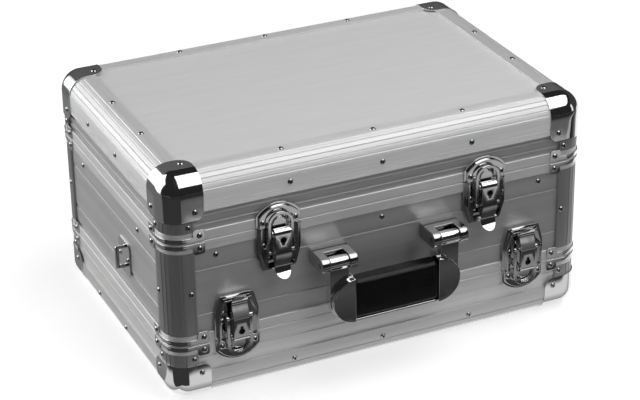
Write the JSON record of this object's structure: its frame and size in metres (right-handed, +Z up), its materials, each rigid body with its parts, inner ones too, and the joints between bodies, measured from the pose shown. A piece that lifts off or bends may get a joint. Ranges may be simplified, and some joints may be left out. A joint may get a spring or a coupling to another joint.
{
  "type": "microphone case",
  "caption": "Riveted aluminium case with a hinged lid over a foam-filled body, a hinged base tray, draw latches with key locks and a drop handle.",
  "frame": {"origin": "centre of the whole case in plan with its handle and hinges, on the surface that the four lower ball corners stand on", "axes": "+Z up, -Y towards the front with the handle and latches, +X to the right seen from the front"},
  "size_m": [0.4782, 0.3544, 0.2473],
  "materials": {
    "profile": "satin",
    "panel": "satin",
    "top_panel": "satin",
    "chrome": "polished",
    "steel": "satin",
    "grip": "satin",
    "foam": "matt",
    "board": "matt"
  },
  "bodies": {
    "base": {"base_bottom_panel": "panel", "base_side_panels": "panel", "base_edge_profiles": "profile", "base_corner_posts": "profile", "base_closing_frame": "profile", "base_ball_corners": "chrome", "base_corner_braces": "chrome", "base_lining": "foam", "base_rivets": "steel", "lower_keepers": "chrome", "lower_hinge_base_leaves": "chrome", "lower_hinge_pins": "steel"},
    "case_body": {"body_lower_closing_frame": "profile", "body_upper_closing_frame": "profile", "body_side_panels": "panel", "body_corner_posts": "profile", "body_lower_braces": "chrome", "body_upper_braces": "chrome", "body_floor_board": "board", "body_rivets": "steel", "microphone_foam": "foam", "upper_latch_plates": "chrome", "lower_latch_plates": "chrome", "latch_pivot_pins": "steel", "lower_hinge_body_leaves": "chrome", "upper_hinge_body_leaves": "chrome", "upper_hinge_pins": "steel", "handle_brackets": "chrome", "handle_hinge_pins": "steel", "side_strap_loops": "chrome"},
    "lid": {"lid_top_panel": "top_panel", "lid_side_panels": "panel", "lid_edge_profiles": "profile", "lid_corner_posts": "profile", "lid_closing_frame": "profile", "lid_corner_braces": "chrome", "lid_ball_corners": "chrome", "lid_foam": "foam", "lid_rivets": "steel", "upper_keepers": "chrome", "upper_hinge_lid_leaves": "chrome"},
    "handle": {"handle_frame": "chrome", "handle_grip": "grip"},
    "upper_left_lever": {"upper_left_lever": "chrome"},
    "upper_left_bail": {"upper_left_bail": "chrome"},
    "upper_left_lock_barrel": {"upper_left_lock_barrel": "steel"},
    "upper_right_lever": {"upper_right_lever": "chrome"},
    "upper_right_bail": {"upper_right_bail": "chrome"},
    "upper_right_lock_barrel": {"upper_right_lock_barrel": "steel"},
    "lower_left_lever": {"lower_left_lever": "chrome"},
    "lower_left_bail": {"lower_left_bail": "chrome"},
    "lower_left_lock_barrel": {"lower_left_lock_barrel": "steel"},
    "lower_right_lever": {"lower_right_lever": "chrome"},
    "lower_right_bail": {"lower_right_bail": "chrome"},
    "lower_right_lock_barrel": {"lower_right_lock_barrel": "steel"}
  },
  "joints": [
    {"name": "body_hinge", "type": "hinge", "parent": "base", "child": "case_body", "pos_m": [0, 0.1732, 0.064], "axis": [-1, 0, 0], "range_deg": [0, 95]},
    {"name": "lid_hinge", "type": "hinge", "parent": "case_body", "child": "lid", "pos_m": [0, 0.1732, 0.176], "axis": [-1, 0, 0], "range_deg": [0, 95]},
    {"name": "handle_swing", "type": "hinge", "parent": "case_body", "child": "handle", "pos_m": [0, -0.1667, 0.133], "axis": [-1, 0, 0], "range_deg": [0, 100]},
    {"name": "upper_left_lever_swing", "type": "hinge", "parent": "case_body", "child": "upper_left_lever", "pos_m": [-0.1135, -0.1512, 0.171], "axis": [-1, 0, 0], "range_deg": [0, 100]},
    {"name": "upper_left_bail_swing", "type": "hinge", "parent": "upper_left_lever", "child": "upper_left_bail", "pos_m": [-0.1135, -0.1506, 0.151], "axis": [-1, 0, 0], "range_deg": [-110, 0]},
    {"name": "upper_left_key_turn", "type": "hinge", "parent": "upper_left_lever", "child": "upper_left_lock_barrel", "pos_m": [-0.1135, -0.1512, 0.165], "axis": [0, 1, 0], "range_deg": [0, 90]},
    {"name": "upper_right_lever_swing", "type": "hinge", "parent": "case_body", "child": "upper_right_lever", "pos_m": [0.1135, -0.1512, 0.171], "axis": [-1, 0, 0], "range_deg": [0, 100]},
    {"name": "upper_right_bail_swing", "type": "hinge", "parent": "upper_right_lever", "child": "upper_right_bail", "pos_m": [0.1135, -0.1506, 0.151], "axis": [-1, 0, 0], "range_deg": [-110, 0]},
    {"name": "upper_right_key_turn", "type": "hinge", "parent": "upper_right_lever", "child": "upper_right_lock_barrel", "pos_m": [0.1135, -0.1512, 0.165], "axis": [0, 1, 0], "range_deg": [0, 90]},
    {"name": "lower_left_lever_swing", "type": "hinge", "parent": "case_body", "child": "lower_left_lever", "pos_m": [-0.16, -0.1512, 0.069], "axis": [1, 0, 0], "range_deg": [0, 100]},
    {"name": "lower_left_bail_swing", "type": "hinge", "parent": "lower_left_lever", "child": "lower_left_bail", "pos_m": [-0.16, -0.1506, 0.089], "axis": [1, 0, 0], "range_deg": [-110, 0]},
    {"name": "lower_left_key_turn", "type": "hinge", "parent": "lower_left_lever", "child": "lower_left_lock_barrel", "pos_m": [-0.16, -0.1512, 0.075], "axis": [0, 1, 0], "range_deg": [0, 90]},
    {"name": "lower_right_lever_swing", "type": "hinge", "parent": "case_body", "child": "lower_right_lever", "pos_m": [0.16, -0.1512, 0.069], "axis": [1, 0, 0], "range_deg": [0, 100]},
    {"name": "lower_right_bail_swing", "type": "hinge", "parent": "lower_right_lever", "child": "lower_right_bail", "pos_m": [0.16, -0.1506, 0.089], "axis": [1, 0, 0], "range_deg": [-110, 0]},
    {"name": "lower_right_key_turn", "type": "hinge", "parent": "lower_right_lever", "child": "lower_right_lock_barrel", "pos_m": [0.16, -0.1512, 0.075], "axis": [0, 1, 0], "range_deg": [0, 90]}
  ],
  "couplings": [
    {"joint": "upper_left_bail_swing", "follows": "upper_left_lever_swing", "ratio": -1.1},
    {"joint": "upper_right_bail_swing", "follows": "upper_right_lever_swing", "ratio": -1.1},
    {"joint": "lower_left_bail_swing", "follows": "lower_left_lever_swing", "ratio": -1.1},
    {"joint": "lower_right_bail_swing", "follows": "lower_right_lever_swing", "ratio": -1.1}
  ]
}
